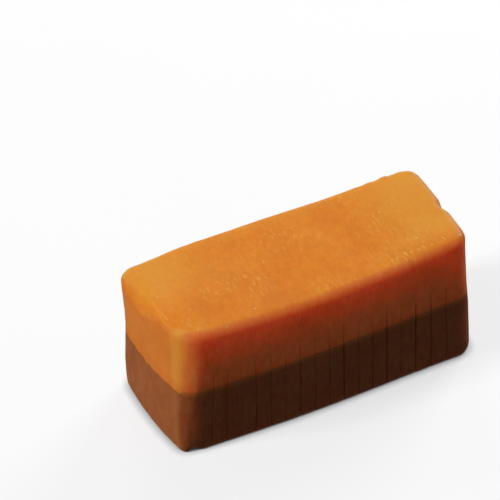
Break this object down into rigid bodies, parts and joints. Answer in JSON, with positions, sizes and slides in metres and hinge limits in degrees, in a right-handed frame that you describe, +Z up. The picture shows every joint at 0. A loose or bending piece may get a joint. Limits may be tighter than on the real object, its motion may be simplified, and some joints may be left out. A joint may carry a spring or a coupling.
{
  "type": "caramel candy",
  "caption": "Oblong soft candy block of plain caramel over chocolate caramel, with rounded edges, bellied sides, a slightly sagging top and fine upright score marks.",
  "frame": {"origin": "on the flat base, under the middle of the block's outline", "axes": "+Z up from the base, X along the length, and the long side with the nick in its lower edge faces -Y"},
  "size_m": [0.0382, 0.0154, 0.0171],
  "materials": {
    "chocolate_caramel": "satin",
    "caramel": "satin"
  },
  "bodies": {
    "root": {"chocolate_layer": "chocolate_caramel", "caramel_layer": "caramel"}
  },
  "joints": []
}
